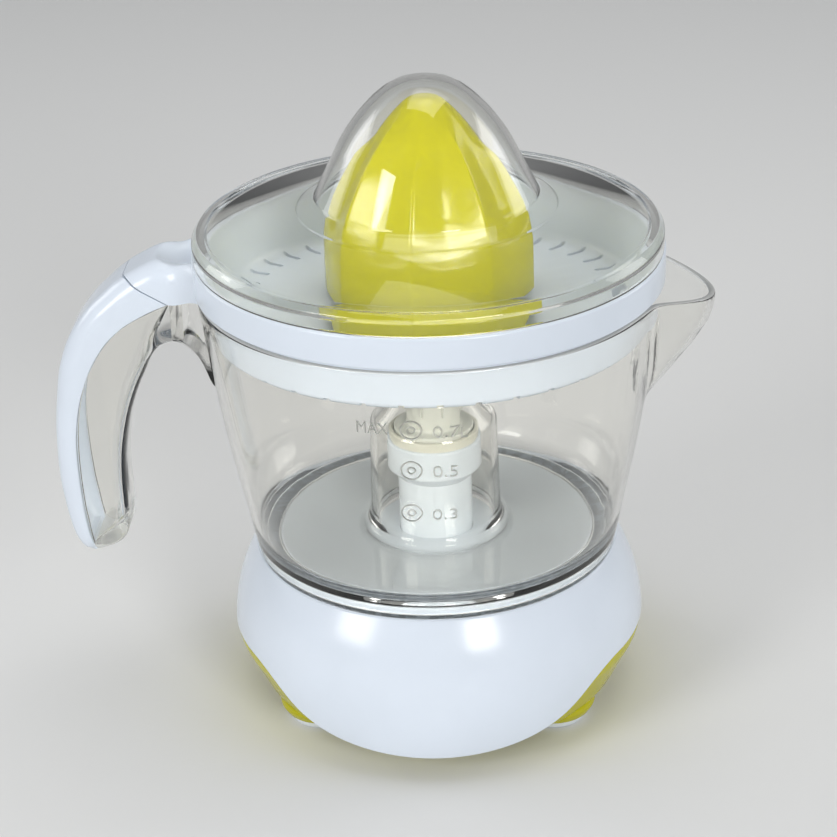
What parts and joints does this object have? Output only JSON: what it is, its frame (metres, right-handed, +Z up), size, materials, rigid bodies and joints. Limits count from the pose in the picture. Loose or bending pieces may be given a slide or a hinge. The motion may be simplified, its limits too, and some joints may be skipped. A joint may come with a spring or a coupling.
{
  "type": "citrus press juicer",
  "caption": "Powered citrus press: fluted cone under a clear dome lid, slotted strainer and clear jug with spout and handle on a round motor base.",
  "frame": {"origin": "centre of the bounding box in plan, on the table; the drive axis is 16.5 mm toward the spout", "axes": "+Z up along the drive axis, +X toward the spout, -X toward the handle, -Y toward the graduations"},
  "size_m": [0.2151, 0.15, 0.213],
  "materials": {
    "white_shell": "gloss",
    "yellow_shell": "gloss",
    "clear_shell": "clear gloss",
    "ivory": "satin",
    "foot_white": "matte",
    "inner_plastic": "matte",
    "gear_plastic": "satin",
    "grommet": "matte",
    "steel": "satin",
    "lamination": "satin",
    "bronze": "satin",
    "copper": "satin",
    "switch_black": "matte"
  },
  "bodies": {
    "base": {"base_housing": "white_shell", "base_tub": "yellow_shell", "feet": "foot_white", "base_screws": "steel", "cord_gland": "grommet", "tower": "white_shell", "tower_screws": "steel", "tower_collar": "ivory", "upper_bush": "bronze", "gear_plate": "inner_plastic", "gear_plate_screws": "steel", "lower_bush": "bronze", "idler_axle": "steel", "motor_core": "lamination", "motor_bobbin": "inner_plastic", "motor_coil": "copper", "motor_bracket_lower": "steel", "motor_bracket_upper": "steel", "motor_bushes": "bronze", "motor_screws": "steel", "switch_body": "switch_black", "switch_screws": "steel", "return_spring": "steel"},
    "rotor": {"rotor_core": "lamination", "rotor_shaft": "steel", "motor_pinion": "bronze"},
    "idler": {"idler_gear": "gear_plastic"},
    "output": {"output_gear": "gear_plastic"},
    "spindle": {"drive_shaft": "steel", "drive_coupling": "ivory"},
    "plunger": {"switch_plunger": "gear_plastic"},
    "jug": {"jug": "clear_shell", "handle_cover": "white_shell"},
    "strainer": {"strainer": "white_shell"},
    "socket": {"cone_socket": "ivory"},
    "cone": {"cone": "yellow_shell"},
    "lid": {"lid": "clear_shell"}
  },
  "joints": [
    {"name": "rotor_spin", "type": "hinge", "parent": "base", "child": "rotor", "pos_m": [0.0305, 0.029, 0.025], "axis": [0, 0, 1], "continuous": true},
    {"name": "idler_spin", "type": "hinge", "parent": "base", "child": "idler", "pos_m": [0.00651, 0.02829, 0.045], "axis": [0, 0, 1], "continuous": true},
    {"name": "output_spin", "type": "hinge", "parent": "base", "child": "output", "pos_m": [0.0165, 0, 0.05], "axis": [0, 0, 1], "continuous": true},
    {"name": "spindle_press", "type": "slide", "parent": "output", "child": "spindle", "axis": [0, 0, -1], "range_m": [0, 0.0022], "stiffness_N_per_m": 3000, "springref_m": -0.002, "deforming": ["return_spring"]},
    {"name": "plunger_press", "type": "slide", "parent": "base", "child": "plunger", "axis": [0, 0, -1], "range_m": [0, 0.0022]},
    {"name": "jug_lift", "type": "slide", "parent": "base", "child": "jug", "axis": [0, 0, 1], "range_m": [0, 0.125]},
    {"name": "strainer_lift", "type": "slide", "parent": "jug", "child": "strainer", "axis": [0, 0, 1], "range_m": [0, 0.06]},
    {"name": "socket_spin", "type": "hinge", "parent": "strainer", "child": "socket", "pos_m": [0.0165, 0, 0.155], "axis": [0, 0, 1], "continuous": true},
    {"name": "cone_press", "type": "slide", "parent": "socket", "child": "cone", "axis": [0, 0, -1], "range_m": [0, 0.0022]},
    {"name": "lid_lift", "type": "slide", "parent": "strainer", "child": "lid", "axis": [0, 0, 1], "range_m": [0, 0.075]}
  ],
  "couplings": [
    {"joint": "output_spin", "follows": "rotor_spin", "ratio": 0.05},
    {"joint": "idler_spin", "follows": "rotor_spin", "ratio": -0.2},
    {"joint": "socket_spin", "follows": "rotor_spin", "ratio": 0.05},
    {"joint": "plunger_press", "follows": "spindle_press", "ratio": 1},
    {"joint": "cone_press", "follows": "spindle_press", "ratio": 1}
  ]
}
